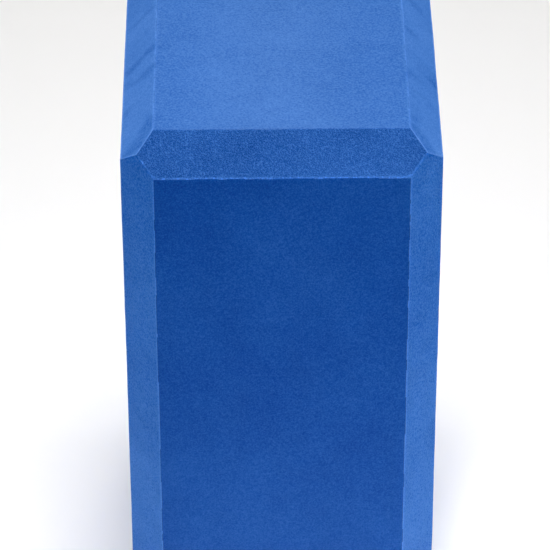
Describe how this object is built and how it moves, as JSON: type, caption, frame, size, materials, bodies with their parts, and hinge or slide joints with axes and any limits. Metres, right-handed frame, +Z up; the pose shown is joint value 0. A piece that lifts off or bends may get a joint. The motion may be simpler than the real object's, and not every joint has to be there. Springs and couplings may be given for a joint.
{
  "type": "yoga block",
  "caption": "Rectangular closed-cell foam block with bevelled edges, stood on end or laid on any face as a firm support in yoga.",
  "frame": {"origin": "middle of the end that the block stands on", "axes": "+Z up along the height, the longest side; X through the thickness, the shortest side; Y along the depth"},
  "size_m": [0.1016, 0.1524, 0.2286],
  "materials": {
    "eva_foam": "matte"
  },
  "bodies": {
    "root": {"foam_block": "eva_foam"}
  },
  "joints": []
}
